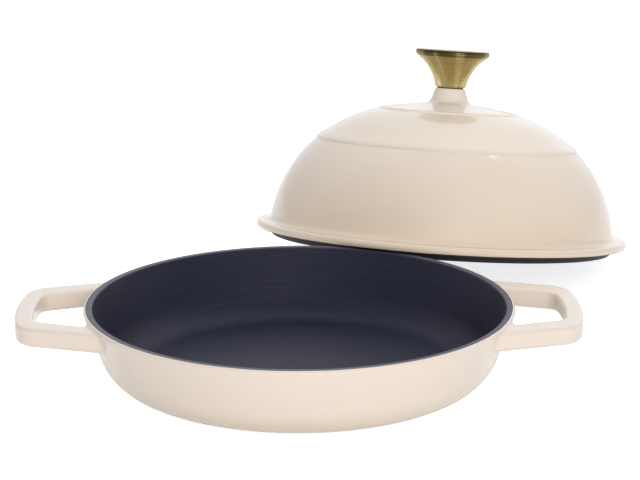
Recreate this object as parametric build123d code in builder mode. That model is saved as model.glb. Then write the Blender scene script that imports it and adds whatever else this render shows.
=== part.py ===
from build123d import *
from math import acos, asin, atan2, cos, degrees, hypot, radians, sin, tan
import os

# A bread cloche of enamelled cast iron: a shallow pan with two loop handles, and a domed lid with a
# brass knob. The lid is off, its near edge laid on the pan's rim and its far edge on the table top.
# Millimetres and degrees. The origin is the centre of the pan's foot, and X runs along the handles.

# The pan
pan_radius = 135.0
pan_height = 49.0
pan_wall = 5.6
pan_floor = 5.2
side_lean = 19.5
toe_rounding = 29.5
rim_rounding = 1.6
inner_rim_rounding = 1.2
light_edge = 1.8
enamel = 0.4

# The loop handles
handle_length = 42.4
handle_depth = 12.5
handle_drop = 2.2
handle_half_width = 54.0
handle_taper = 17.0
handle_bar = 11.6
handle_arm = 15.6
window_taper = 20.0
handle_corner = 18.0
window_corner = 8.0
handle_top_rounding = 2.2
handle_bottom_rounding = 3.6
handle_root_fillet = 2.0
handle_root_share = 0.6

# The lid's casting, measured along and out from its own axis, from the underside of its flange
flange_ledge = 9.3
flange_thickness = 5.8
flange_fillet = 3.5
dome_share = 0.737
dome_centre_drop = 4.8
dome_wall = 4.6
skirt_wall = 6.4
lip_depth = 4.7
lip_clearance = 4.6
lip_rounding = 1.0
coat_stop = 1.5
ring_level = 69.8
ring_width = 8.8
ring_proud = 0.9
crown_inset = 0.4
plateau_radius = 51.4
plateau_step = 1.6
plateau_slope = 7.7
plateau_rounding = 1.8
boss_foot_radius = 14.3
boss_height = 10.7
boss_taper = 18.5
boss_foot_fillet = 5.5
boss_rounding = 1.5

# The knob and what fastens it
gasket_thickness = 0.5
knob_height = 27.0
knob_radius = 26.75
knob_foot_radius = 11.0
knob_foot_rounding = 1.4
knob_flare_rounding = 33.0
knob_rim_depth = 4.6
knob_rim_step = 2.6
knob_rim_rounding = 1.35
knob_groove = 0.45
screw_radius = 3.0
screw_engagement = 14.0
screw_clearance = 0.3
thread_clearance = 0.05
tap_runout = 2.0
screw_head_radius = 6.0
screw_head_height = 4.4
screw_head_rounding = 1.6
screw_tip_chamfer = 0.8
socket_across = 4.0
socket_depth = 2.4
washer_radius = 8.0
washer_thickness = 1.2

# How the lid is set down
lid_lap = 5.0
lid_gap = 0.3
lid_bearing = 69.1
lid_sidestep = -11.6

os.makedirs("parts", exist_ok=True)


def round_corner(point, radius):
    """Round the corner of the open sketch that lies at a point."""
    fillet(vertices().sort_by_distance(point)[0], radius=radius)


# The pan's side leans out as a straight line that just touches the rounded edge of the rim
lean = radians(side_lean)
side_top_radius = pan_radius - rim_rounding + rim_rounding * (1 + sin(lean)) / cos(lean)


def side_radius(inset, height):
    """Radius of the pan's side at a height, moved in square to itself by an inset."""
    return side_top_radius - (pan_height - height) * tan(lean) - inset / cos(lean)


iron_wall = pan_wall - enamel
iron_floor = pan_floor - enamel
iron_height = pan_height - enamel
iron_toe = (side_radius(iron_wall, iron_floor), iron_floor)
iron_edge = (side_radius(iron_wall, iron_height), iron_height)
iron_toe_rounding = toe_rounding - iron_wall
border_radius = pan_radius - light_edge

# One loop handle, flat on top, its root buried in the pan
handle_reach = pan_radius + handle_length
handle_top = pan_height - handle_drop
handle_root = handle_root_share * pan_radius
window_half_width = handle_half_width - handle_arm


def taper(half_width, angle, reach):
    """Half width of a tapering outline at a distance from the pan's axis."""
    return half_width - (reach - pan_radius) * tan(radians(angle))


with BuildPart() as handle:
    with BuildSketch(Plane.XY.offset(handle_top - handle_depth)):
        with BuildLine():
            root = taper(handle_half_width, handle_taper, handle_root)
            end = taper(handle_half_width, handle_taper, handle_reach)
            near_side = Line((handle_root, -root), (handle_reach, -end))
            far_side = Line((handle_reach, end), (handle_root, root))
            Line(near_side @ 1, far_side @ 0)
            Line(far_side @ 1, near_side @ 0)
        make_face()
        Circle(handle_reach, mode=Mode.INTERSECT)
        fillet(vertices().group_by(Axis.X)[-1], radius=handle_corner)
    extrude(amount=handle_depth)
    with BuildSketch(Plane.XY.offset(handle_top - handle_depth)):
        window_reach = handle_reach - handle_bar
        with BuildLine():
            root = taper(window_half_width, window_taper, handle_root)
            end = taper(window_half_width, window_taper, window_reach)
            near_side = Line((handle_root, -root), (window_reach, -end))
            far_side = Line((window_reach, end), (handle_root, root))
            Line(near_side @ 1, far_side @ 0)
            Line(far_side @ 1, near_side @ 0)
        make_face()
        Circle(window_reach, mode=Mode.INTERSECT)
        fillet(vertices().group_by(Axis.X)[-1], radius=window_corner)
    extrude(amount=handle_depth, mode=Mode.SUBTRACT)
    fillet(handle.faces().sort_by(Axis.Z)[-1].edges(), radius=handle_top_rounding)
    fillet(handle.faces().sort_by(Axis.Z)[0].edges(), radius=handle_bottom_rounding)

# The pan: the solid outside, the handles grown into it, then the inside taken out
with BuildPart() as pan_casting:
    with BuildSketch(Plane.XZ):
        with BuildLine():
            Polyline(
                (0, 0),
                (side_radius(0, 0), 0),
                (side_radius(0, pan_height), pan_height),
                (border_radius, pan_height),
                (border_radius, iron_height),
                (0, iron_height),
                close=True,
            )
        make_face()
        round_corner((side_radius(0, 0), 0), toe_rounding)
        round_corner((side_radius(0, pan_height), pan_height), rim_rounding)
    revolve(axis=Axis.Z)
    add([handle.part, handle.part.mirror(Plane.YZ)])
    fillet(edges(Select.NEW), radius=handle_root_fillet)
    with BuildSketch(Plane.XZ):
        with BuildLine():
            Polyline((0, iron_floor), iron_toe, iron_edge, (0, iron_height), close=True)
        make_face()
        round_corner(iron_toe, iron_toe_rounding)
    revolve(axis=Axis.Z, mode=Mode.SUBTRACT)
pan_casting.part.label = "pan_casting"
export_step(pan_casting.part, "parts/pan_casting.step")

# The dark coat inside the pan, turned out over the flat of the rim
with BuildPart() as pan_lining:
    with BuildSketch(Plane.XZ):
        with BuildLine():
            Polyline(
                (0, iron_floor),
                iron_toe,
                iron_edge,
                (border_radius, iron_height),
                (border_radius, pan_height),
                (side_radius(pan_wall, pan_height), pan_height),
                (side_radius(pan_wall, pan_floor), pan_floor),
                (0, pan_floor),
                close=True,
            )
        make_face()
        round_corner(iron_toe, iron_toe_rounding)
        round_corner((side_radius(pan_wall, pan_height), pan_height), inner_rim_rounding)
        round_corner((side_radius(pan_wall, pan_floor), pan_floor), iron_toe_rounding - enamel)
    revolve(axis=Axis.Z)
pan_lining.part.label = "pan_lining"
export_step(pan_lining.part, "parts/pan_lining.step")

# The lid's outline, in radius and height from its own axis and the underside of its flange
lid_radius = pan_radius
dome_rounding = dome_share * lid_radius
lip_radius = side_radius(pan_wall, pan_height - lip_depth) - lip_clearance
dome_centre = lid_radius - flange_ledge - dome_rounding
inner_centre = dome_centre - (skirt_wall - dome_wall)
inner_rounding = dome_rounding - dome_wall
iron_inner_rounding = inner_rounding + enamel
crown = inner_rounding - dome_centre_drop
iron_crown = crown + enamel
bore_radius = screw_radius + screw_clearance
neck = radians(boss_taper)


def dome_angle(height, rounding):
    """Angle up the dome's arc, of a given radius, at which it reaches a height."""
    return degrees(asin((height + dome_centre_drop) / rounding))


def dome_point(angle, proud):
    """Point of the dome's outside at an angle up its arc, stood off by a distance."""
    reach = dome_rounding + proud
    return (dome_centre + reach * cos(radians(angle)), reach * sin(radians(angle)) - dome_centre_drop)


ring_angle = dome_angle(ring_level, dome_rounding)
ring_half = degrees(ring_width / 2 / dome_rounding)
ring_low = dome_point(ring_angle - ring_half, 0)
ring_crest = dome_point(ring_angle, ring_proud)
ring_high = dome_point(ring_angle + ring_half, -crown_inset)
dome_foot = dome_point(dome_angle(flange_thickness, dome_rounding), 0)
crown_rounding = dome_rounding - crown_inset
plateau_angle = degrees(acos((plateau_radius - dome_centre) / crown_rounding))
plateau_foot = dome_point(plateau_angle, -crown_inset)
plateau_edge = (plateau_radius - plateau_step, plateau_foot[1] + plateau_step)
plateau_rise = (plateau_edge[0] - boss_foot_radius) * tan(radians(plateau_slope))
boss_foot = (boss_foot_radius, plateau_edge[1] + plateau_rise)
boss_top = boss_foot[1] + boss_height
boss_edge = (boss_foot_radius - boss_height * tan(neck), boss_top)

# The lean of the lid: its flange lies against the rounded edge of the rim, its lip stands on the table
contact_reach = lid_radius - lid_lap
contact_drop = rim_rounding + lid_gap
foot_reach = lip_radius - lip_rounding
foot_drop = lip_depth - lip_rounding
across = contact_reach + foot_reach
below = foot_drop - contact_drop
rise = (pan_height - rim_rounding) - lip_rounding
lid_lean = asin(rise / hypot(across, below)) - atan2(below, across)
lid_height = lip_rounding + foot_reach * sin(lid_lean) + foot_drop * cos(lid_lean)
rim_middle = pan_radius - rim_rounding
lid_out = rim_middle + contact_reach * cos(lid_lean) + contact_drop * sin(lid_lean)
bearing = radians(lid_bearing)
lid_frame = Plane(
    origin=(
        lid_out * cos(bearing) - lid_sidestep * sin(bearing),
        lid_out * sin(bearing) + lid_sidestep * cos(bearing),
        lid_height,
    ),
    x_dir=(cos(lid_lean) * cos(bearing), cos(lid_lean) * sin(bearing), -sin(lid_lean)),
    z_dir=(sin(lid_lean) * cos(bearing), sin(lid_lean) * sin(bearing), cos(lid_lean)),
)
lid_section = Plane(origin=lid_frame.origin, x_dir=lid_frame.x_dir, z_dir=-lid_frame.y_dir)
lid_axis = Axis(lid_frame.origin, lid_frame.z_dir)

dome_middle = (dome_centre, -dome_centre_drop)
inner_middle = (inner_centre, -dome_centre_drop)

# The lid: dome, raised ring, plateau and boss outside, rolled flange and locating lip below
with BuildPart() as lid_casting:
    with BuildSketch(lid_section):
        with BuildLine():
            lip_angle = dome_angle(-lip_depth, iron_inner_rounding)
            foot_angle = dome_angle(flange_thickness, dome_rounding)
            roll = flange_thickness / 2
            Line((bore_radius, iron_crown), (inner_centre, iron_crown))
            inner = CenterArc(inner_middle, iron_inner_rounding, lip_angle, 90 - lip_angle)
            Polyline(inner @ 0, (lip_radius, -lip_depth), (lip_radius, 0), (lid_radius - roll, 0))
            CenterArc((lid_radius - roll, roll), roll, -90, 180)
            Line((lid_radius - roll, flange_thickness), dome_foot)
            ring_start = ring_angle - ring_half
            ring_end = ring_angle + ring_half
            CenterArc(dome_middle, dome_rounding, foot_angle, ring_start - foot_angle)
            ThreePointArc(ring_low, ring_crest, ring_high)
            CenterArc(dome_middle, crown_rounding, ring_end, plateau_angle - ring_end)
            Polyline(plateau_foot, plateau_edge, boss_foot, boss_edge, (bore_radius, boss_top))
            Line((bore_radius, boss_top), (bore_radius, iron_crown))
        make_face()
        round_corner(inner @ 0, lip_rounding)
        round_corner((lip_radius, -lip_depth), lip_rounding)
        round_corner(dome_foot, flange_fillet)
        round_corner(plateau_edge, plateau_rounding)
        round_corner(plateau_foot, plateau_rounding)
        round_corner(boss_foot, boss_foot_fillet)
        round_corner(boss_edge, boss_rounding)
    revolve(axis=lid_axis)
lid_casting.part.label = "lid_casting"
export_step(lid_casting.part, "parts/lid_casting.step")

# The dark coat inside the dome, ending just above the bare foot of the lip
with BuildPart() as lid_lining:
    with BuildSketch(lid_section):
        with BuildLine():
            coat_angle = dome_angle(coat_stop - lip_depth, inner_rounding)
            iron_angle = dome_angle(coat_stop - lip_depth, iron_inner_rounding)
            coat_face = CenterArc(inner_middle, inner_rounding, coat_angle, 90 - coat_angle)
            iron_face = CenterArc(inner_middle, iron_inner_rounding, iron_angle, 90 - iron_angle)
            Line(coat_face @ 0, iron_face @ 0)
            Polyline(coat_face @ 1, (bore_radius, crown), (bore_radius, iron_crown), iron_face @ 1)
        make_face()
    revolve(axis=lid_axis)
lid_lining.part.label = "lid_lining"
export_step(lid_lining.part, "parts/lid_lining.step")

# The thin dark ring between boss and knob
gasket_radius = boss_edge[0] - boss_rounding
with BuildPart() as knob_gasket:
    with BuildSketch(lid_frame.offset(boss_top)):
        Circle(gasket_radius)
        Circle(bore_radius, mode=Mode.SUBTRACT)
    extrude(amount=gasket_thickness)
knob_gasket.part.label = "knob_gasket"
export_step(knob_gasket.part, "parts/knob_gasket.step")

# The trumpet knob, turned from brass: a fine groove under its rim, a blind tapped hole in its foot
knob_foot = boss_top + gasket_thickness
knob_top = knob_foot + knob_height
tap_radius = screw_radius + thread_clearance
tap_top = knob_foot + screw_engagement + tap_runout
rim_foot = (knob_radius - knob_rim_step, knob_top - knob_rim_depth)
rim_low = (knob_radius, knob_top - knob_rim_depth + knob_rim_step)
with BuildPart() as knob:
    with BuildSketch(lid_section):
        with BuildLine():
            Polyline((0, tap_top), (tap_radius, tap_top), (tap_radius, knob_foot))
            Line((tap_radius, knob_foot), (knob_foot_radius, knob_foot))
            RadiusArc((knob_foot_radius, knob_foot), rim_foot, knob_flare_rounding)
            Polyline(rim_foot, rim_low, (knob_radius, knob_top), (0, knob_top), (0, tap_top))
        make_face()
        round_corner((knob_foot_radius, knob_foot), knob_foot_rounding)
        round_corner(rim_low, knob_rim_rounding)
        round_corner((knob_radius, knob_top), knob_rim_rounding)
    revolve(axis=lid_axis)
    with BuildSketch(lid_section):
        with Locations(rim_foot):
            Circle(knob_groove)
    revolve(axis=lid_axis, mode=Mode.SUBTRACT)
knob.part.label = "knob"
export_step(knob.part, "parts/knob.step")

# The washer and the screw, driven up from inside the dome
washer_foot = crown - washer_thickness
with BuildPart() as screw_washer:
    with BuildSketch(lid_frame.offset(washer_foot)):
        Circle(washer_radius)
        Circle(bore_radius, mode=Mode.SUBTRACT)
    extrude(amount=washer_thickness)
screw_washer.part.label = "screw_washer"
export_step(screw_washer.part, "parts/screw_washer.step")

head_foot = washer_foot - screw_head_height
screw_tip = knob_foot + screw_engagement
with BuildPart() as knob_screw:
    with BuildSketch(lid_section):
        with BuildLine():
            Polyline(
                (0, head_foot),
                (screw_head_radius, head_foot),
                (screw_head_radius, washer_foot),
                (screw_radius, washer_foot),
                (screw_radius, screw_tip),
                (0, screw_tip),
                close=True,
            )
        make_face()
        round_corner((screw_head_radius, head_foot), screw_head_rounding)
        chamfer(vertices().sort_by_distance((screw_radius, screw_tip))[0], length=screw_tip_chamfer)
    revolve(axis=lid_axis)
    with BuildSketch(lid_frame.offset(head_foot)):
        RegularPolygon(radius=socket_across / 2, side_count=6, major_radius=False)
    extrude(amount=socket_depth, mode=Mode.SUBTRACT)
knob_screw.part.label = "knob_screw"
export_step(knob_screw.part, "parts/knob_screw.step")
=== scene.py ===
from math import acos, asin, atan2, cos, degrees, hypot, pi, radians, sin, sqrt, tan

import bmesh
import bpy
from mathutils import Matrix, Vector


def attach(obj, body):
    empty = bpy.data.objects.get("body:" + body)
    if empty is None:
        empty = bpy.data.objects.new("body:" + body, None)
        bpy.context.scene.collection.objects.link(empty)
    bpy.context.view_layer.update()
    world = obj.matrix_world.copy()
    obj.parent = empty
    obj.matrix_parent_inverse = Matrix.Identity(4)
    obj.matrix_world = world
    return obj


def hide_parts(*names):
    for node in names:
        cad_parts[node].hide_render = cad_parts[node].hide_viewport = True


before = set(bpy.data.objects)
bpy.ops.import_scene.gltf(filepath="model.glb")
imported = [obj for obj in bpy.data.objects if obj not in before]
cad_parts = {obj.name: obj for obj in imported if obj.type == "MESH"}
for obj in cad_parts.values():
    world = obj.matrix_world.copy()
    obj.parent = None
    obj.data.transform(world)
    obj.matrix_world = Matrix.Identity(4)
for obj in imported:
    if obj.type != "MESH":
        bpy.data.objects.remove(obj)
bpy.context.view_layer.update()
scene = bpy.context.scene
mm = 0.001
weldGap = 2e-6
sharpAngle = radians(40)
print("frame loaded, nodes:", ", ".join(sorted(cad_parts)))


# Outlines: chains of points in radius and height, in millimetres, joined with rounded corners

def line(start, end, steps=1):
    return [(start[0] + (end[0] - start[0]) * i / steps, start[1] + (end[1] - start[1]) * i / steps)
            for i in range(steps + 1)]


def arc(middle, radius, fromAngle, toAngle, steps):
    turn = [radians(fromAngle + (toAngle - fromAngle) * i / steps) for i in range(steps + 1)]
    return [(middle[0] + radius * cos(a), middle[1] + radius * sin(a)) for a in turn]


def heading(a, b):
    size = hypot(b[0] - a[0], b[1] - a[1])
    return ((b[0] - a[0]) / size, (b[1] - a[1]) / size)


def trimEnd(chain, cut):
    # shortens a chain by a length measured back along it
    points = list(chain)
    while len(points) > 1:
        a, b = points[-2], points[-1]
        size = hypot(b[0] - a[0], b[1] - a[1])
        if size > cut + 1e-9:
            share = cut / size
            points[-1] = (b[0] + (a[0] - b[0]) * share, b[1] + (a[1] - b[1]) * share)
            return points
        cut -= size
        points.pop()
    return points


def trimStart(chain, cut):
    return trimEnd(chain[::-1], cut)[::-1]


def joined(chains, roundings, steps=7):
    # a rounding of r between two chains becomes a smooth turn that leaves and meets them in line
    path = list(chains[0])
    for following, rounding in zip(chains[1:], roundings):
        if rounding:
            before = heading(path[-2], path[-1])
            after = heading(following[0], following[1])
            turn = acos(max(-1, min(1, before[0] * after[0] + before[1] * after[1])))
            cut = rounding * tan(turn / 2)
            path = trimEnd(path, cut)
            following = trimStart(following, cut)
            a, b = path[-1], following[0]
            leave = heading(path[-2], path[-1])
            arrive = heading(following[0], following[1])
            reach = 4 / 3 * tan(turn / 4) * rounding
            for i in range(1, steps):
                t = i / steps
                weights = ((1 - t) ** 3, 3 * t * (1 - t) ** 2, 3 * t * t * (1 - t), t ** 3)
                controls = (a, (a[0] + leave[0] * reach, a[1] + leave[1] * reach),
                            (b[0] - arrive[0] * reach, b[1] - arrive[1] * reach), b)
                path.append(tuple(sum(w * c[k] for w, c in zip(weights, controls)) for k in (0, 1)))
        else:
            following = following[1:]
        path += following
    return path


# The lathe: a node tree that turns a profile round the Z axis

def latheTree():
    tree = bpy.data.node_groups.new("turnedOnLathe", "GeometryNodeTree")
    face = tree.interface
    face.new_socket("Profile", in_out="INPUT", socket_type="NodeSocketObject")
    face.new_socket("Segments", in_out="INPUT", socket_type="NodeSocketInt")
    face.new_socket("Finish", in_out="INPUT", socket_type="NodeSocketMaterial")
    face.new_socket("Geometry", in_out="OUTPUT", socket_type="NodeSocketGeometry")
    nodes, links = tree.nodes, tree.links

    def add(kind, **settings):
        node = nodes.new(kind)
        for key, value in settings.items():
            setattr(node, key, value)
        return node

    def math(operation, a, b=None):
        node = add("ShaderNodeMath", operation=operation)
        for socket, value in zip(node.inputs, (a, b)):
            if value is None:
                continue
            if isinstance(value, (int, float)):
                socket.default_value = value
            else:
                links.new(value, socket)
        return node.outputs[0]

    given = add("NodeGroupInput")
    profile = add("GeometryNodeObjectInfo", transform_space="ORIGINAL")
    links.new(given.outputs["Profile"], profile.inputs["Object"])
    count = add("GeometryNodeAttributeDomainSize", component="MESH")
    links.new(profile.outputs["Geometry"], count.inputs["Geometry"])
    points = count.outputs["Point Count"]
    grid = add("GeometryNodeMeshGrid")
    grid.inputs["Size X"].default_value = 1.0
    grid.inputs["Size Y"].default_value = 1.0
    links.new(math("ADD", given.outputs["Segments"], 1), grid.inputs["Vertices X"])
    links.new(points, grid.inputs["Vertices Y"])
    place = add("ShaderNodeSeparateXYZ")
    links.new(add("GeometryNodeInputPosition").outputs[0], place.inputs[0])
    row = math("ROUND", math("MULTIPLY", math("ADD", place.outputs["Y"], 0.5), math("SUBTRACT", points, 1)))
    angle = math("MULTIPLY", math("ADD", place.outputs["X"], 0.5), 2 * pi)
    sample = add("GeometryNodeSampleIndex", data_type="FLOAT_VECTOR", domain="POINT")
    links.new(profile.outputs["Geometry"], sample.inputs["Geometry"])
    links.new(add("GeometryNodeInputPosition").outputs[0], sample.inputs["Value"])
    links.new(row, sample.inputs["Index"])
    outline = add("ShaderNodeSeparateXYZ")
    links.new(sample.outputs[0], outline.inputs[0])
    turned = add("ShaderNodeCombineXYZ")
    links.new(math("MULTIPLY", outline.outputs["X"], math("COSINE", angle)), turned.inputs["X"])
    links.new(math("MULTIPLY", outline.outputs["X"], math("SINE", angle)), turned.inputs["Y"])
    links.new(outline.outputs["Z"], turned.inputs["Z"])
    shape = add("GeometryNodeSetPosition")
    links.new(grid.outputs["Mesh"], shape.inputs["Geometry"])
    links.new(turned.outputs[0], shape.inputs["Position"])
    weld = add("GeometryNodeMergeByDistance")
    weld.inputs["Distance"].default_value = weldGap
    links.new(shape.outputs[0], weld.inputs[0])
    smooth = add("GeometryNodeSetShadeSmooth")
    links.new(weld.outputs[0], smooth.inputs["Geometry"])
    real = add("GeometryNodeRealizeInstances")
    links.new(smooth.outputs[0], real.inputs[0])
    finish = add("GeometryNodeSetMaterial")
    links.new(real.outputs[0], finish.inputs["Geometry"])
    links.new(given.outputs["Finish"], finish.inputs["Material"])
    out = add("NodeGroupOutput")
    links.new(finish.outputs[0], out.inputs["Geometry"])
    return tree


lathe = latheTree()


def turn(name, outline, material, segments=256, place=None):
    # draws the outline in the XZ plane, turns it with the lathe tree and keeps the plain mesh
    drawn = bpy.data.meshes.new(name + "Outline")
    points = [(max(r, 0.0) * mm, 0.0, z * mm) for r, z in outline]
    drawn.from_pydata(points, [(i, i + 1) for i in range(len(points) - 1)], [])
    profile = bpy.data.objects.new(name + "Outline", drawn)
    blank = bpy.data.objects.new(name + "Blank", bpy.data.meshes.new(name + "Blank"))
    for thing in (profile, blank):
        scene.collection.objects.link(thing)
    modifier = blank.modifiers.new("lathe", "NODES")
    modifier.node_group = lathe
    sockets = {item.name: item.identifier for item in lathe.interface.items_tree if item.in_out == "INPUT"}
    modifier[sockets["Profile"]] = profile
    modifier[sockets["Segments"]] = segments
    modifier[sockets["Finish"]] = material
    depsgraph = bpy.context.evaluated_depsgraph_get()
    mesh = bpy.data.meshes.new_from_object(blank.evaluated_get(depsgraph))
    bpy.data.objects.remove(blank)
    bpy.data.objects.remove(profile)
    shape = bmesh.new()
    shape.from_mesh(mesh)
    bmesh.ops.remove_doubles(shape, verts=shape.verts, dist=weldGap)
    bmesh.ops.dissolve_degenerate(shape, edges=shape.edges, dist=1e-7)
    bmesh.ops.recalc_face_normals(shape, faces=shape.faces)
    shape.to_mesh(mesh)
    shape.free()
    if place is not None:
        mesh.transform(place)
    mesh.materials.clear()
    mesh.materials.append(material)
    mesh.polygons.foreach_set("material_index", [0] * len(mesh.polygons))
    mesh.set_sharp_from_angle(angle=sharpAngle)
    mesh.name = name
    piece = bpy.data.objects.new(name, mesh)
    scene.collection.objects.link(piece)
    return piece


# Sizes of the two castings in millimetres and degrees, and the lid's lean: its flange lies on the rim's rounded
# edge and its lip stands on the table

panSizes = {"radius": 135.0, "height": 49.0, "wall": 5.6, "floor": 5.2, "lean": 19.5, "toeRounding": 29.5,
            "rimRounding": 1.6, "innerRimRounding": 1.2, "lightEdge": 1.8, "enamel": 0.4}
lidSizes = {"radius": 135.0, "ledge": 9.3, "flange": 5.8, "flangeFillet": 5.0, "domeRounding": 0.737 * 135.0,
            "centreDrop": 4.8, "domeWall": 4.6, "skirtWall": 6.4, "lipDepth": 4.7, "lipClearance": 4.6,
            "lipRounding": 1.0, "coatStop": 1.5, "ringLevel": 69.8, "ringWidth": 8.8, "ringProud": 0.9,
            "crownInset": 0.4, "plateauRadius": 51.4, "plateauStep": 1.6, "plateauSlope": 7.7,
            "plateauRounding": 3.4, "bossFoot": 14.3, "bossHeight": 10.7, "bossTaper": 18.5,
            "bossFootFillet": 5.5, "bossRounding": 1.5, "screwBore": 3.3, "lap": 5.0, "gap": 0.3,
            "bearing": 69.1, "sidestep": -11.6}


def sideRadius(inset, height):
    # radius of the leaning side at a height, or of a surface that lies a wall's thickness inside it
    lean = radians(panSizes["lean"])
    rounding = panSizes["rimRounding"]
    top = panSizes["radius"] - rounding + rounding * (1 + sin(lean)) / cos(lean)
    return top - (panSizes["height"] - height) * tan(lean) - inset / cos(lean)


def lidPlace():
    s, edge = lidSizes, panSizes["rimRounding"]
    lip = sideRadius(panSizes["wall"], panSizes["height"] - s["lipDepth"]) - s["lipClearance"]
    reach = s["radius"] - s["lap"]
    across = reach + lip - s["lipRounding"]
    below = (s["lipDepth"] - s["lipRounding"]) - (edge + s["gap"])
    rise = panSizes["height"] - edge - s["lipRounding"]
    lean = asin(rise / hypot(across, below)) - atan2(below, across)
    height = s["lipRounding"] + (lip - s["lipRounding"]) * sin(lean) + (s["lipDepth"] - s["lipRounding"]) * cos(lean)
    out = panSizes["radius"] - edge + reach * cos(lean) + (edge + s["gap"]) * sin(lean)
    turned = Matrix.Rotation(radians(s["bearing"]), 4, "Z")
    return turned @ Matrix.Translation(Vector((out, s["sidestep"], height)) * mm) @ Matrix.Rotation(lean, 4, "Y"), lip


lidFrame, lipRadius = lidPlace()
print("lid frame:", [round(v / mm, 2) for v in lidFrame.to_translation()])


# Finishes: each is built from nodes on object coordinates

def finishNodes(name, roughness, **shaderValues):
    material = bpy.data.materials.new(name)
    material.use_nodes = True
    tree = material.node_tree
    shader = tree.nodes["Principled BSDF"]
    shader.inputs["Roughness"].default_value = roughness
    for key, value in shaderValues.items():
        shader.inputs[key.replace("_", " ")].default_value = value
    return material, tree, shader


def put(tree, socket, value):
    if isinstance(value, bpy.types.NodeSocket):
        tree.links.new(value, socket)
    elif isinstance(value, (tuple, list)) and socket.type == "RGBA":
        socket.default_value = (*value[:3], 1.0)
    else:
        socket.default_value = value


def sums(tree, operation, a, b=None, c=None):
    node = tree.nodes.new("ShaderNodeMath")
    node.operation = operation
    for socket, value in zip(node.inputs, (a, b, c)):
        if value is not None:
            put(tree, socket, value)
    return node.outputs[0]


def ownPlace(tree, place=None):
    # object coordinates, brought into the lid's own upright frame where the piece leans
    coordinates = tree.nodes.new("ShaderNodeTexCoord").outputs["Object"]
    if place is None:
        return coordinates
    mapping = tree.nodes.new("ShaderNodeMapping")
    mapping.vector_type = "TEXTURE"
    mapping.inputs["Location"].default_value = place.to_translation()
    mapping.inputs["Rotation"].default_value = place.to_euler()
    put(tree, mapping.inputs["Vector"], coordinates)
    return mapping.outputs["Vector"]


def mottle(tree, vector, scale, detail=2.0, roughness=0.5):
    texture = tree.nodes.new("ShaderNodeTexNoise")
    for key, value in (("Vector", vector), ("Scale", scale), ("Detail", detail), ("Roughness", roughness)):
        put(tree, texture.inputs[key], value)
    return texture.outputs["Fac"]


def ramp(tree, value, low, high, toLow=0.0, toHigh=1.0):
    node = tree.nodes.new("ShaderNodeMapRange")
    node.interpolation_type = "SMOOTHSTEP"
    for socket, given in zip(node.inputs, (value, low, high, toLow, toHigh)):
        put(tree, socket, given)
    return node.outputs[0]


def rampOver(tree, value, span, toLow=0.0, toHigh=1.0):
    # the same over a span in millimetres
    return ramp(tree, value, span[0] * mm, span[1] * mm, toLow, toHigh)


def tint(tree, factor, a, b):
    node = tree.nodes.new("ShaderNodeMix")
    node.data_type = "RGBA"
    for index, given in ((0, factor), (6, a), (7, b)):
        put(tree, node.inputs[index], given)
    return node.outputs[2]


def relief(tree, height, depth, normal=None):
    # depth in metres for a height from 0 to 1
    node = tree.nodes.new("ShaderNodeBump")
    put(tree, node.inputs["Distance"], depth)
    put(tree, node.inputs["Height"], height)
    if normal is not None:
        put(tree, node.inputs["Normal"], normal)
    return node.outputs["Normal"]


def radiusAndHeight(tree, vector):
    parts = tree.nodes.new("ShaderNodeSeparateXYZ")
    put(tree, parts.inputs[0], vector)
    x, y, z = parts.outputs
    square = sums(tree, "ADD", sums(tree, "MULTIPLY", x, x), sums(tree, "MULTIPLY", y, y))
    return sums(tree, "SQRT", square), x, y, z


def roundLines(tree, vector, fineness, drift):
    # noise that changes fast with the radius and slowly round it, as a turned or sprayed surface does
    radius, x, y, z = radiusAndHeight(tree, vector)
    spread = tree.nodes.new("ShaderNodeCombineXYZ")
    put(tree, spread.inputs[0], sums(tree, "MULTIPLY", sums(tree, "ADD", radius, z), fineness))
    put(tree, spread.inputs[1], sums(tree, "MULTIPLY", x, drift))
    put(tree, spread.inputs[2], sums(tree, "MULTIPLY", y, drift))
    return mottle(tree, spread.outputs[0], 1.0, detail=3.0)


# roughness from 0 to 1, relief in metres, borders and the painted shade and light tints in millimetres of height or
# radius
# the low cream is painted shade and the boss's cream painted light; the lip's navy is darkened with painted shade
enamelLooks = {"cream": (0.81, 0.712, 0.61), "warmCream": (0.79, 0.69, 0.58), "rosyCream": (0.775, 0.68, 0.615),
               "shadedCream": (0.77, 0.645, 0.52), "bossPaintedLight": (0.92, 0.85, 0.76),
               "navy": (0.018, 0.021, 0.054), "deepNavy": (0.009, 0.010, 0.028),
               "rimNavy": (0.032, 0.031, 0.075), "shadedLipNavy": (0.003, 0.003, 0.013),
               "creamRoughness": 0.34, "navyRoughness": 0.5, "rimRoughness": 0.36, "coatRoughness": 0.08,
               "creamCoat": 1.0, "navyCoat": 0.0, "glassIor": 1.5,
               "peel": 0.00006, "peelScale": 330.0, "ripple": 0.0004, "rippleScale": 26.0,
               "patchScale": 14.0, "patchShare": 0.35, "sprayLines": (2600.0, 30.0),
               "rimBorder": 133.6, "lipBorder": 0.75, "borderBlur": 0.12, "borderWander": 0.5, "wanderScale": 90.0,
               "rimDepths": (0.35, 0.15), "groundDepths": (1.2, 0.3),
               "rosyHeights": (6, 30), "toeHeights": (0, 18), "panTintAndShade": 0.6,
               "lowHeights": (0, 60), "bossRadii": (15, 26), "bossHeights": (96, 99)}


def enamelSurface(tree, shader, vector):
    # orange peel a few millimetres wide over a broad, shallow unevenness of the casting
    looks = enamelLooks
    broad = relief(tree, mottle(tree, vector, looks["rippleScale"], detail=1.0), looks["ripple"])
    fine = relief(tree, mottle(tree, vector, looks["peelScale"], detail=2.0), looks["peel"], broad)
    put(tree, shader.inputs["Normal"], fine)
    put(tree, shader.inputs["Coat Normal"], fine)


def creamColour(tree, vector):
    looks = enamelLooks
    patches = ramp(tree, mottle(tree, vector, looks["patchScale"], detail=3.0), 0.35, 0.7)
    return tint(tree, sums(tree, "MULTIPLY", patches, looks["patchShare"]), looks["cream"], looks["warmCream"])


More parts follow.
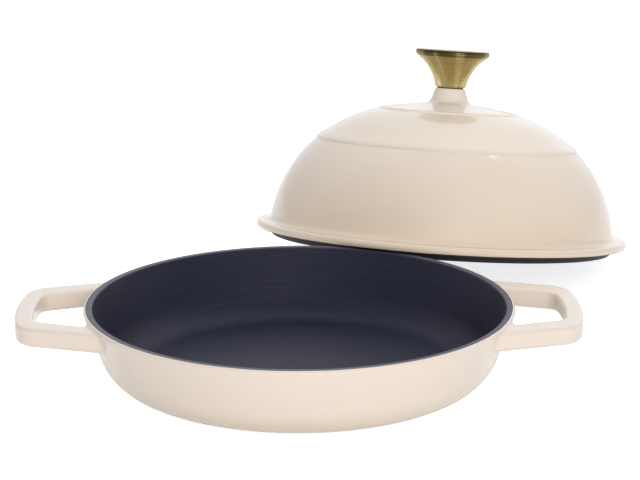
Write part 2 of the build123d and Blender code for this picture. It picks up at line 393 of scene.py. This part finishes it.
def navyColour(tree, vector):
    rings = roundLines(tree, vector, *enamelLooks["sprayLines"])
    return tint(tree, ramp(tree, rings, 0.3, 0.75), enamelLooks["deepNavy"], enamelLooks["navy"])


def panTintAndShade(tree, paint, light, radius, z):
    # rosier up the wall, and darker and warmer round the toe as painted shade
    looks = enamelLooks
    rosy = sums(tree, "MULTIPLY", light, rampOver(tree, z, looks["rosyHeights"], 0.0, looks["panTintAndShade"]))
    warm = rampOver(tree, z, looks["toeHeights"], looks["panTintAndShade"], 0.0)
    return tint(tree, warm, tint(tree, rosy, paint, looks["rosyCream"]), looks["shadedCream"])


def lidShadeAndLight(tree, paint, light, radius, z):
    # painted warm shade towards the flange, and painted light over the boss, which sits in the knob's shade
    looks = enamelLooks
    warm = sums(tree, "MULTIPLY", light, rampOver(tree, z, looks["lowHeights"], 1.0, 0.0))
    onBoss = sums(tree, "MULTIPLY", rampOver(tree, radius, looks["bossRadii"], 1.0, 0.0),
                  rampOver(tree, z, looks["bossHeights"]))
    return tint(tree, onBoss, tint(tree, warm, paint, looks["shadedCream"]), looks["bossPaintedLight"])


def belowRim(depths):
    return [panSizes["height"] - depth for depth in depths]


def enamel(name, colour, border=None, place=None, tintByPlace=None):
    # colour is cream or navy; border says below which height, or inside which radius, navy takes over
    looks = enamelLooks
    material, tree, shader = finishNodes(name, looks[colour + "Roughness"], IOR=looks["glassIor"],
                                         Coat_Roughness=looks["coatRoughness"], Coat_Weight=looks[colour + "Coat"])
    vector = ownPlace(tree, place)
    paint = creamColour(tree, vector) if colour == "cream" else navyColour(tree, vector)
    if border:
        kind, edge = border
        radius, x, y, z = radiusAndHeight(tree, vector)
        wander = sums(tree, "MULTIPLY", mottle(tree, vector, looks["wanderScale"]), looks["borderWander"] * mm)
        level = sums(tree, "ADD", radius if kind == "radius" else z, wander)
        middle = edge + looks["borderWander"] / 2
        light = rampOver(tree, level, (middle - looks["borderBlur"], middle + looks["borderBlur"]))
        if colour == "cream" and kind == "radius":
            # only on the rim's top, not on the walls below it
            light = sums(tree, "MAXIMUM", light, rampOver(tree, z, belowRim(looks["rimDepths"]), 1.0, 0.0))
        # on the lid, the navy below the border is darkened further with painted shade
        dark, pale = (looks["shadedLipNavy"], paint) if colour == "cream" else (paint, creamColour(tree, vector))
        paint = tint(tree, light, dark, pale)
        for value, key in (("Roughness", "Roughness"), ("Coat", "Coat Weight")):
            put(tree, shader.inputs[key], ramp(tree, light, 0.0, 1.0, looks["navy" + value], looks["cream" + value]))
        if colour == "navy":
            # the flat of the rim is ground smoother than the inside
            ground = belowRim(looks["groundDepths"])
            put(tree, shader.inputs["Roughness"], rampOver(tree, z, ground, looks["navyRoughness"],
                                                           looks["rimRoughness"]))
            onFlat = sums(tree, "MULTIPLY", rampOver(tree, z, ground), sums(tree, "SUBTRACT", 1.0, light))
            paint = tint(tree, onFlat, paint, looks["rimNavy"])
        # painted shade and painted light tinted in by height and radius
        if tintByPlace:
            paint = tintByPlace(tree, paint, light, radius, z)
    put(tree, shader.inputs["Base Color"], paint)
    enamelSurface(tree, shader, vector)
    return material


# the sheen colour is a painted reflection; the dark band's colour and its share of highlights are painted reflections
# on the rim
metalLooks = {"brass": (0.60, 0.50, 0.21), "brassDeep": (0.36, 0.28, 0.095), "brassRoughness": 0.22,
              "steel": (0.55, 0.55, 0.56), "steelDeep": (0.42, 0.42, 0.43), "steelRoughness": 0.32,
              "brassLines": 0.000012, "steelLines": 0.00001, "fineLines": (5200.0, 12.0), "broadLines": (1500.0, 8.0),
              "sheen": (0.78, 0.68, 0.40), "streakScale": 3.3, "streakTwist": 9.0, "streakEdges": (0.44, 0.8),
              "paintedDarkBand": (0.13, 0.10, 0.045), "rimHeights": (130.6, 135.5), "rimBlurs": (0.8, 0.5),
              "streakEnds": (1.6, 0.6), "highlightShare": 0.8}


def brassPaintedReflections(tree, vector, paint):
    # painted reflections: soft bright streaks run up the flare, and a dark band painted round the rim stands in for a
    # dark reflection
    looks = metalLooks
    low, high = looks["rimHeights"]
    radius, x, y, z = radiusAndHeight(tree, vector)
    bearing = tree.nodes.new("ShaderNodeCombineXYZ")
    put(tree, bearing.inputs[0], sums(tree, "DIVIDE", x, radius))
    put(tree, bearing.inputs[1], sums(tree, "DIVIDE", y, radius))
    put(tree, bearing.inputs[2], sums(tree, "MULTIPLY", z, looks["streakTwist"]))
    streaks = ramp(tree, mottle(tree, bearing.outputs[0], looks["streakScale"], detail=1.0), *looks["streakEdges"])
    # the painted streaks end at the edge of the flat top, and the dark band takes painted highlights where they meet it
    ends = [high - depth for depth in looks["streakEnds"]]
    streaks = sums(tree, "MULTIPLY", streaks, rampOver(tree, z, ends, 1.0, 0.0))
    bandFoot, bandTop = (low, low + looks["rimBlurs"][0]), (high - looks["rimBlurs"][1], high)
    inBand = sums(tree, "MULTIPLY", rampOver(tree, z, bandFoot), rampOver(tree, z, bandTop, 1.0, 0.0))
    darkShare = sums(tree, "SUBTRACT", 1.0, sums(tree, "MULTIPLY", streaks, looks["highlightShare"]))
    bright = tint(tree, streaks, paint, looks["sheen"])
    return tint(tree, sums(tree, "MULTIPLY", inBand, darkShare), bright, looks["paintedDarkBand"])


def roundTangent(tree, place):
    # the direction round the leaning axis, along which the lathe's lines run
    around, fromAxis, unit = (tree.nodes.new("ShaderNodeVectorMath") for i in range(3))
    around.operation, fromAxis.operation, unit.operation = "CROSS_PRODUCT", "SUBTRACT", "NORMALIZE"
    around.inputs[0].default_value = place.to_3x3() @ Vector((0, 0, 1))
    put(tree, fromAxis.inputs[0], ownPlace(tree))
    fromAxis.inputs[1].default_value = place.to_translation()
    put(tree, around.inputs[1], fromAxis.outputs[0])
    put(tree, unit.inputs[0], around.outputs[0])
    return unit.outputs[0]


def turnedMetal(name, kind, place, paintedReflections=False):
    # metal cut on a lathe: fine rings in relief and colour, and a gloss drawn out across them
    looks = metalLooks
    material, tree, shader = finishNodes(name, looks[kind + "Roughness"], Metallic=1.0, Anisotropic=0.6,
                                         Anisotropic_Rotation=0.0)
    vector = ownPlace(tree, place)
    fineRings = roundLines(tree, vector, *looks["fineLines"])
    broadRings = roundLines(tree, vector, *looks["broadLines"])
    paint = tint(tree, ramp(tree, broadRings, 0.3, 0.7), looks[kind + "Deep"], looks[kind])
    # painted reflections on the brass: bright streaks, and a dark rim band with highlights
    if paintedReflections:
        paint = brassPaintedReflections(tree, vector, paint)
    put(tree, shader.inputs["Base Color"], paint)
    put(tree, shader.inputs["Normal"], relief(tree, fineRings, looks[kind + "Lines"]))
    put(tree, shader.inputs["Tangent"], roundTangent(tree, place))
    return material


rubberLooks = {"dark": (0.02, 0.018, 0.016), "dusty": (0.05, 0.046, 0.042), "roughness": 0.75,
               "grain": 0.00004, "grainScale": 900.0}


def rubber(name, place):
    looks = rubberLooks
    material, tree, shader = finishNodes(name, looks["roughness"])
    grain = mottle(tree, ownPlace(tree, place), looks["grainScale"], detail=3.0)
    put(tree, shader.inputs["Base Color"], tint(tree, grain, looks["dark"], looks["dusty"]))
    put(tree, shader.inputs["Normal"], relief(tree, grain, looks["grain"]))
    return material


panBorder = ("radius", enamelLooks["rimBorder"])
creamPan = enamel("creamEnamelPan", "cream", border=panBorder, tintByPlace=panTintAndShade)
navyPan = enamel("navyEnamelPan", "navy", border=panBorder)
creamLid = enamel("creamEnamelLid", "cream", border=("height", enamelLooks["lipBorder"]), place=lidFrame,
                  tintByPlace=lidShadeAndLight)
navyLid = enamel("navyEnamelLid", "navy", place=lidFrame)
brassKnob = turnedMetal("turnedBrass", "brass", lidFrame, paintedReflections=True)
steelScrew = turnedMetal("turnedSteel", "steel", lidFrame)
gasketRubber = rubber("gasketRubber", lidFrame)
print("finishes ready:", len(bpy.data.materials))


# The pan: the light outside, then the dark coat inside it

def panCorners():
    # corners of the iron under the dark coat, and of the border between the two coats
    s = panSizes
    wall, floor, height = (s[key] - s["enamel"] for key in ("wall", "floor", "height"))
    border = s["radius"] - s["lightEdge"]
    return {"innerTop": (sideRadius(wall, height), height), "innerFoot": (sideRadius(wall, floor), floor),
            "ironMiddle": (0, floor), "ironEdge": (border, height), "edge": (border, s["height"]),
            "ironToe": s["toeRounding"] - wall}


def panOutline():
    s, c = panSizes, panCorners()
    foot, top = (sideRadius(0, 0), 0), (sideRadius(0, s["height"]), s["height"])
    return joined([line((0, 0), foot, 8), line(foot, top, 12), line(top, c["edge"]), line(c["edge"], c["ironEdge"]),
                   line(c["ironEdge"], c["innerTop"], 2), line(c["innerTop"], c["innerFoot"], 6),
                   line(c["innerFoot"], c["ironMiddle"], 8)],
                  [s["toeRounding"], s["rimRounding"], 0, 0, 0, c["ironToe"]], steps=18)


def panCoatOutline():
    s, c = panSizes, panCorners()
    skinTop = (sideRadius(s["wall"], s["height"]), s["height"])
    skinFoot = (sideRadius(s["wall"], s["floor"]), s["floor"])
    return joined([line(c["ironMiddle"], c["innerFoot"], 6), line(c["innerFoot"], c["innerTop"], 6),
                   line(c["innerTop"], c["ironEdge"]), line(c["ironEdge"], c["edge"]), line(c["edge"], skinTop, 3),
                   line(skinTop, skinFoot, 14), line(skinFoot, (0, s["floor"]), 14)],
                  [c["ironToe"], 0, 0, 0, s["innerRimRounding"], s["toeRounding"] - s["wall"]], steps=18)


# The loop handles: stations along the loop, each a rounded bar between the outer edge and the window

handleSizes = {"length": 42.4, "depth": 12.5, "drop": 2.2, "halfWidth": 54.0, "taper": 17.0, "bar": 11.6, "arm": 15.6,
               "windowTaper": 20.0, "corner": 18.0, "windowCorner": 8.0, "topRounding": 2.2, "bottomRounding": 3.6,
               "rootShare": 0.7, "rootFillet": 3.5, "sunk": 1.0}


def lastTrue(test, low, high):
    # halves the span until it closes on the last value for which the test holds
    for i in range(60):
        middle = (low + high) / 2
        if test(middle):
            low = middle
        else:
            high = middle
    return low


def loopEdge(halfWidth, taper, reach, corner, steps):
    # one half of an outline in plan: straight arm, rounded corner, arc of the bar, up to its middle
    lean = tan(radians(taper))
    base = panSizes["radius"]

    def across(x):
        return halfWidth - (x - base) * lean

    # the corner's circle touches the arm's line from inside and the bar's arc from inside
    gap = corner * hypot(1, lean)
    out = lastTrue(lambda x: hypot(x, across(x) - gap) < reach - corner, base * 0.5, reach)
    centre = (out, across(out) - gap)
    armAngle = atan2(1, lean)
    barAngle = atan2(centre[1], centre[0])
    armEnd = (centre[0] + corner * cos(armAngle), centre[1] + corner * sin(armAngle))
    cornerPoints = [(centre[0] + corner * cos(armAngle + (barAngle - armAngle) * i / steps),
                     centre[1] + corner * sin(armAngle + (barAngle - armAngle) * i / steps))
                    for i in range(1, steps + 1)]
    barPoints = [(reach * cos(barAngle * (1 - i / steps)), reach * sin(barAngle * (1 - i / steps)))
                 for i in range(1, steps + 1)]
    rootOut = base * handleSizes["rootShare"]
    return (rootOut, across(rootOut)), armEnd, cornerPoints, barPoints


def barSection(width):
    # the bar's own outline: distance in from the outer edge, height, and the direction that faces out
    s = handleSizes
    above, below = s["topRounding"], s["bottomRounding"]
    top = panSizes["height"] - s["drop"]
    bottom = top - s["depth"]
    corners = ((above, top - above, above, 180), (width - above, top - above, above, 90),
               (width - below, bottom + below, below, 0), (below, bottom + below, below, -90))
    turnSteps, flatParts = 8, 4
    ring = []
    for cx, cz, rounding, start in corners:
        for i in range(turnSteps + 1):
            a = radians(start - 90 * i / turnSteps)
            ring.append((cx + rounding * cos(a), cz + rounding * sin(a), cos(a), sin(a)))
    full = []
    for index, (u, z, nu, nz) in enumerate(ring):
        full.append((u, z, nu, nz))
        if (index + 1) % (turnSteps + 1) == 0:
            # the flat between two corners
            nextU, nextZ = ring[(index + 1) % len(ring)][:2]
            shares = [k / flatParts for k in range(1, flatParts)]
            full += [(u + (nextU - u) * t, z + (nextZ - z) * t, nu, nz) for t in shares]
    return full


def wallGap(point):
    # distance of a point outside the pan's side or its rounded rim, and the direction straight off it
    s = panSizes
    lean = radians(s["lean"])
    radius = hypot(point.x, point.y)
    level = s["height"] - s["rimRounding"]
    middle = s["radius"] - s["rimRounding"]
    up = point.z - level
    out = radius - middle
    if up * cos(lean) + out * sin(lean) <= 0:
        gap = (radius - sideRadius(0, point.z)) * cos(lean)
        flat, rise = cos(lean), -sin(lean)
    else:
        # past the rim's rounding only the height over its flat counts
        out = max(out, 0.0)
        gap = hypot(out, up) - s["rimRounding"]
        flat, rise = out / hypot(out, up), up / hypot(out, up)
    return gap, Vector((point.x / radius * flat, point.y / radius * flat, rise))


def rootRows(start, inward, facing, rows):
    # rolls a ball of the fillet's radius into the corner between the arm and the wall
    fillet = handleSizes["rootFillet"]
    ball = start + facing * fillet
    near = lastTrue(lambda way: wallGap(ball + inward * way)[0] > fillet, 0.0, 90.0)
    centre = ball + inward * near
    gap, off = wallGap(centre)
    points = []
    whole = acos(max(-1, min(1, facing.dot(off))))
    for i in range(rows + 1):
        t = i / rows
        way = (facing * sin((1 - t) * whole) + off * sin(t * whole)) / sin(whole)
        points.append(centre - way * fillet)
    points.append(points[-1] - off * handleSizes["sunk"])
    return points


def loopHandle():
    # a closed mesh of one handle on the +X side, in millimetres: rows of rings from root to root
    s = handleSizes
    steps, armRows, filletRows = 12, 10, 7
    reach = panSizes["radius"] + s["length"]
    outer = loopEdge(s["halfWidth"], s["taper"], reach, s["corner"], steps)
    inner = loopEdge(s["halfWidth"] - s["arm"], s["windowTaper"], reach - s["bar"], s["windowCorner"], steps)

    def ringAt(a, b):
        a, b = Vector((*a, 0)), Vector((*b, 0))
        width = (b - a).length
        side = (b - a) / width
        return [(a + side * u + Vector((0, 0, z)), side * nu + Vector((0, 0, nz)))
                for u, z, nu, nz in barSection(width)]

    armRing = ringAt(outer[1], inner[1])
    rootRing = ringAt(outer[0], inner[0])
    columns = []
    for (tip, facing), (root, other) in zip(armRing, rootRing):
        inward = (root - tip).normalized()
        flat = facing - inward * facing.dot(inward)
        fillet = rootRows(tip, inward, flat.normalized(), filletRows)
        armPoints = [fillet[0] + (tip - fillet[0]) * i / armRows for i in range(1, armRows + 1)]
        columns.append(fillet[::-1] + armPoints)
    half = [list(row) for row in zip(*columns)]
    for a, b in list(zip(outer[2], inner[2])) + list(zip(outer[3], inner[3])):
        half.append([p for p, facing in ringAt(a, b)])
    mirrored = [[Vector((p.x, -p.y, p.z)) for p in row] for row in half[:-1]]
    rows = half + mirrored[::-1]
    points = [p for row in rows for p in row]
    around = len(rows[0])
    faces = []
    for i in range(len(rows) - 1):
        for k in range(around):
            a, b = i * around + k, i * around + (k + 1) % around
            faces.append((a, b, b + around, a + around))
    faces.append(tuple(range(around)))
    faces.append(tuple(range((len(rows) - 1) * around, len(rows) * around)))
    return points, faces


def addLoops(body):
    points, faces = loopHandle()
    shape = bmesh.new()
    shape.from_mesh(body.data)
    for side in (1, -1):
        corners = [shape.verts.new((p.x * side * mm, p.y * mm, p.z * mm)) for p in points]
        made = [shape.faces.new([corners[i] for i in face]) for face in faces]
        for face in made:
            face.smooth = True
        bmesh.ops.recalc_face_normals(shape, faces=made)
    shape.to_mesh(body.data)
    shape.free()


panBody = turn("panBody", panOutline(), creamPan, segments=384)
addLoops(panBody)
panBody.data.set_sharp_from_angle(angle=sharpAngle)
panCoat = turn("panCoat", panCoatOutline(), navyPan, segments=320)
print("pan faces:", len(panBody.data.polygons), "coat faces:", len(panCoat.data.polygons))


# The lid: dome, ring, plateau, boss, flange and lip in one outline, and its dark coat

def lidHeights():
    s = lidSizes
    domeCentre = s["radius"] - s["ledge"] - s["domeRounding"]
    innerCentre = domeCentre - (s["skirtWall"] - s["domeWall"])
    coatRounding = s["domeRounding"] - s["domeWall"]
    crownRounding = s["domeRounding"] - s["crownInset"]
    plateauAngle = degrees(acos((s["plateauRadius"] - domeCentre) / crownRounding))
    plateauEdge = crownRounding * sin(radians(plateauAngle)) - s["centreDrop"] + s["plateauStep"]
    plateauRun = s["plateauRadius"] - s["plateauStep"] - s["bossFoot"]
    bossFoot = plateauEdge + plateauRun * tan(radians(s["plateauSlope"]))
    return {"domeCentre": domeCentre, "innerCentre": innerCentre, "coatRounding": coatRounding,
            "crownRounding": crownRounding,
            "plateauAngle": plateauAngle, "plateauEdge": plateauEdge, "bossFoot": bossFoot,
            "bossTop": bossFoot + s["bossHeight"], "crown": coatRounding - s["centreDrop"]}


# the ring across its width, crisp below and soft above: how far up it, and the share of its full height there
ringShape = ((0.0, 0.0), (0.02, 0.2), (0.05, 0.45), (0.09, 0.66), (0.14, 0.82), (0.2, 0.93), (0.28, 0.99), (0.36, 1.0),
             (0.5, 0.92), (0.65, 0.74), (0.8, 0.5), (0.95, 0.26), (1.1, 0.06), (1.3, -0.12), (1.5, -0.25), (1.8, -0.37),
             (2.1, -0.44))


def domeAngle(height, rounding):
    return degrees(asin((height + lidSizes["centreDrop"]) / rounding))


def lidOutline(bore):
    s, h = lidSizes, lidHeights()
    iron = h["coatRounding"] + panSizes["enamel"]
    ironCrown = h["crown"] + panSizes["enamel"]
    domeMiddle, innerMiddle = (h["domeCentre"], -s["centreDrop"]), (h["innerCentre"], -s["centreDrop"])
    ringAngle = domeAngle(s["ringLevel"], s["domeRounding"])
    ringHalf = degrees(s["ringWidth"] / 2 / s["domeRounding"])
    footAngle = domeAngle(s["flange"], s["domeRounding"])
    roll = s["flange"] / 2
    inside = arc(innerMiddle, iron, 90, domeAngle(-s["lipDepth"], iron), 40)
    lower = arc(domeMiddle, s["domeRounding"], footAngle, ringAngle - ringHalf, 44)
    ringEnd = ringAngle - ringHalf + 2 * ringHalf * ringShape[-1][0]
    upper = arc(domeMiddle, h["crownRounding"], ringEnd, h["plateauAngle"], 12)

    def proud(share, height):
        # a point across the ring, 0 at its lower edge and 1 at its upper, stood off the dome's arc
        a = radians(ringAngle - ringHalf + 2 * ringHalf * share)
        reach = s["domeRounding"] + height
        return (domeMiddle[0] + reach * cos(a), domeMiddle[1] + reach * sin(a))

    ring = [proud(share, s["ringProud"] * height) for share, height in ringShape]
    ring[0], ring[-1] = lower[-1], upper[0]
    plateauFoot, plateauEdge = upper[-1], (s["plateauRadius"] - s["plateauStep"], h["plateauEdge"])
    bossFoot = (s["bossFoot"], h["bossFoot"])
    bossEdge = (s["bossFoot"] - s["bossHeight"] * tan(radians(s["bossTaper"])), h["bossTop"])
    chains = [line((bore, ironCrown), inside[0], 3), inside, line(inside[-1], (lipRadius, -s["lipDepth"]), 2),
              line((lipRadius, -s["lipDepth"]), (lipRadius, 0), 3), line((lipRadius, 0), (s["radius"] - roll, 0), 3),
              arc((s["radius"] - roll, roll), roll, -90, 90, 18),
              line((s["radius"] - roll, s["flange"]), lower[0], 3), lower, ring, upper,
              line(plateauFoot, plateauEdge, 3), line(plateauEdge, bossFoot, 12), line(bossFoot, bossEdge, 8),
              line(bossEdge, (bore, h["bossTop"]), 2), line((bore, h["bossTop"]), (bore, ironCrown), 3)]
    return joined(chains, [0, s["lipRounding"], s["lipRounding"], 0, 0, 0, s["flangeFillet"], 0, 0,
                           s["plateauRounding"], s["plateauRounding"], s["bossFootFillet"],
                           s["bossRounding"], 0], steps=9)


def lidCoatOutline(bore):
    s, h = lidSizes, lidHeights()
    iron, coat = h["coatRounding"] + panSizes["enamel"], h["coatRounding"]
    middle = (h["innerCentre"], -s["centreDrop"])
    stop = s["coatStop"] - s["lipDepth"]
    skin = arc(middle, coat, 90, domeAngle(stop, coat), 60)
    back = arc(middle, iron, domeAngle(stop, iron), 90, 40)
    return joined([line((bore, h["crown"]), skin[0], 6), skin, line(skin[-1], back[0]), back,
                   line(back[-1], (bore, h["crown"] + panSizes["enamel"]), 2),
                   line((bore, h["crown"] + panSizes["enamel"]), (bore, h["crown"]))], [0, 0, 0, 0, 0])


lidShell = turn("lidShell", lidOutline(lidSizes["screwBore"]), creamLid, segments=384, place=lidFrame)
lidCoat = turn("lidCoat", lidCoatOutline(lidSizes["screwBore"]), navyLid, segments=320, place=lidFrame)
print("lid faces:", len(lidShell.data.polygons), "coat faces:", len(lidCoat.data.polygons))


# The knob: a trumpet with a fine groove under its rim

knobSizes = {"gasket": 0.5, "height": 27.0, "radius": 26.75, "footRadius": 11.0, "footRounding": 1.4,
             "flareRounding": 33.0, "rimDepth": 5.4, "rimStep": 2.3, "rimRounding": 1.25, "groove": 0.45,
             "tapRadius": 3.05, "tapDepth": 16.0}


def knobOutline():
    s = knobSizes
    foot = lidHeights()["bossTop"] + s["gasket"]
    top = foot + s["height"]
    start, end = (s["footRadius"], foot), (s["radius"] - s["rimStep"], top - s["rimDepth"])
    # the flare's arc bows in towards the axis
    half = hypot(end[0] - start[0], end[1] - start[1]) / 2
    way = heading(start, end)
    reach = sqrt(s["flareRounding"]**2 - half**2)
    centre = ((start[0] + end[0]) / 2 + way[1] * reach, (start[1] + end[1]) / 2 - way[0] * reach)
    first = degrees(atan2(start[1] - centre[1], start[0] - centre[0]))
    last = degrees(atan2(end[1] - centre[1], end[0] - centre[0]))
    first, last = first % 360, last % 360
    flare = arc(centre, s["flareRounding"], first, last, 26)
    low = (s["radius"], top - s["rimDepth"] + s["rimStep"])
    # the groove is cut where the flare meets the rim
    flare = trimEnd(flare, s["groove"])
    rise = heading(end, low)
    leave = (end[0] + rise[0] * s["groove"], end[1] + rise[1] * s["groove"])
    a0 = degrees(atan2(flare[-1][1] - end[1], flare[-1][0] - end[0])) % 360
    a1 = degrees(atan2(rise[1], rise[0])) % 360
    groove = arc(end, s["groove"], a0, a1, 9)
    tap = foot + s["tapDepth"]
    chains = [line((0, tap), (s["tapRadius"], tap), 2), line((s["tapRadius"], tap), (s["tapRadius"], foot), 4),
              line((s["tapRadius"], foot), start, 3), flare, groove, line(leave, low, 2),
              line(low, (s["radius"], top), 3), line((s["radius"], top), (0, top), 14)]
    return joined(chains, [0, 0, s["footRounding"], 0, 0, s["rimRounding"], s["rimRounding"]], steps=9)


brassTrumpet = turn("brassTrumpet", knobOutline(), brassKnob, segments=256, place=lidFrame)
print("knob faces:", len(brassTrumpet.data.polygons))

for node, finish in (("knob_screw", steelScrew), ("screw_washer", steelScrew), ("knob_gasket", gasketRubber)):
    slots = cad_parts[node].data.materials
    slots.clear()
    slots.append(finish)

for piece, node, body, slot in ((panBody, "pan_casting", "pan", "light_enamelled_iron"),
                                (panCoat, "pan_lining", "pan", "dark_enamel"),
                                (lidShell, "lid_casting", "lid", "light_enamelled_iron"),
                                (lidCoat, "lid_lining", "lid", "dark_enamel"),
                                (brassTrumpet, "knob", "lid", "knob_brass")):
    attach(piece, body)
    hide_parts(node)


# The pale floor, the soft light and the camera

# the world's spans run along a direction's x, y or z; lamps have a place, size in metres, power in watts,
# colour and whether they show in a gloss
studio = {"floorSize": 12.0, "floorColour": (0.88, 0.88, 0.89), "floorGlow": 0.78, "floorSheen": 0.28,
          "behind": (1.15, 1.15, 1.15), "infront": (0.66, 0.63, 0.58), "overhead": (0.3, 0.3, 0.3),
          "frontToBack": (-0.3, 0.5), "overheadRise": (0.55, 0.9), "overheadBack": (0.05, 0.3),
          "darkerLeft": 0.51, "leftSpan": (-0.9, 0.3), "darkerRight": 0.42, "rightSpan": (0.2, 0.9),
          "aim": (0.08, 0.15, 0.05),
          "lamps": {"overhead": ((0.1, 0.1, 2.3), 1.6, 12.0, (1.0, 1.0, 1.0), False),
                    "front": ((0.4, -2.2, 0.9), 1.5, 30.0, (1.0, 0.985, 0.96), False),
                    "rightSpark": ((0.95, 0.55, 1.9), 0.12, 0.22, (1.0, 1.0, 1.0), True),
                    "leftSpark": ((-0.6, 0.5, 2.0), 0.16, 0.08, (1.0, 1.0, 1.0), True)}}


def paleFloor():
    material, tree, shader = finishNodes("paleFloor", 0.9, Base_Color=(*studio["floorColour"], 1.0))
    # fine paper grain; what only the camera sees is lifted to white
    grain = mottle(tree, ownPlace(tree), 700.0, detail=2.0)
    put(tree, shader.inputs["Normal"], relief(tree, grain, 0.00002))
    shader.inputs["Specular IOR Level"].default_value = 0.1
    seen = tree.nodes.new("ShaderNodeLightPath")
    glow = sums(tree, "MULTIPLY", seen.outputs["Is Camera Ray"], studio["floorGlow"])
    sheen = sums(tree, "MULTIPLY", seen.outputs["Is Glossy Ray"], studio["floorSheen"])
    shader.inputs["Emission Color"].default_value = (1, 1, 1, 1)
    put(tree, shader.inputs["Emission Strength"], sums(tree, "ADD", glow, sheen))
    half = studio["floorSize"] / 2
    mesh = bpy.data.meshes.new("floor")
    mesh.from_pydata([(-half, -half, 0), (half, -half, 0), (half, half, 0), (-half, half, 0)], [], [(0, 1, 2, 3)])
    mesh.materials.append(material)
    floor = bpy.data.objects.new("floor", mesh)
    scene.collection.objects.link(floor)


def softWorld():
    world = bpy.data.worlds.new("softWorld")
    scene.world = world
    world.use_nodes = True
    tree = world.node_tree
    background = tree.nodes["Background"]
    # white for what the camera sees; the object has white behind it, and a dimmer, warmer room in front and above
    way = tree.nodes.new("ShaderNodeTexCoord").outputs["Generated"]
    parts = tree.nodes.new("ShaderNodeSeparateXYZ")
    put(tree, parts.inputs[0], way)
    x, y, z = parts.outputs
    walls = tint(tree, ramp(tree, y, *studio["frontToBack"]), studio["infront"], studio["behind"])
    above = sums(tree, "MULTIPLY", ramp(tree, z, *studio["overheadRise"]),
                 ramp(tree, y, *studio["overheadBack"], 1.0, 0.0))
    room = tint(tree, above, walls, studio["overhead"])
    seen = tree.nodes.new("ShaderNodeLightPath").outputs["Is Camera Ray"]
    put(tree, background.inputs["Color"], tint(tree, seen, room, (1.0, 1.0, 1.0)))
    left = ramp(tree, x, *studio["leftSpan"], 1.0 - studio["darkerLeft"], 1.0)
    right = ramp(tree, x, *studio["rightSpan"], 1.0, 1.0 - studio["darkerRight"])
    put(tree, background.inputs["Strength"], sums(tree, "MAXIMUM", sums(tree, "MULTIPLY", left, right), seen))


def lamp(name, place, size, power, colour, shows):
    light = bpy.data.lights.new(name, "AREA")
    light.shape = "SQUARE"
    light.size = size
    light.energy = power
    light.color = colour
    box = bpy.data.objects.new(name, light)
    box.location = place
    aim = Vector(studio["aim"]) - box.location
    box.rotation_euler = aim.to_track_quat("-Z", "Y").to_euler()
    box.visible_glossy = shows
    scene.collection.objects.link(box)


paleFloor()
softWorld()
for name, values in studio["lamps"].items():
    lamp(name, *values)

view = {"place": (-0.0051, -1.3802, 0.4703), "pitch": 15.41, "heading": -0.7505, "lens": 129.375, "sensor": 36.0}
eye = bpy.data.cameras.new("photoCamera")
eye.lens = view["lens"]
eye.sensor_width = view["sensor"]
eye.sensor_fit = "HORIZONTAL"
eye.clip_end = 50
camera = bpy.data.objects.new("photoCamera", eye)
camera.location = view["place"]
camera.rotation_euler = (radians(90 - view["pitch"]), 0, radians(view["heading"]))
scene.collection.objects.link(camera)
scene.camera = camera
scene.view_settings.view_transform = "Standard"
print("floor, light and camera ready")

bpy.context.view_layer.update()
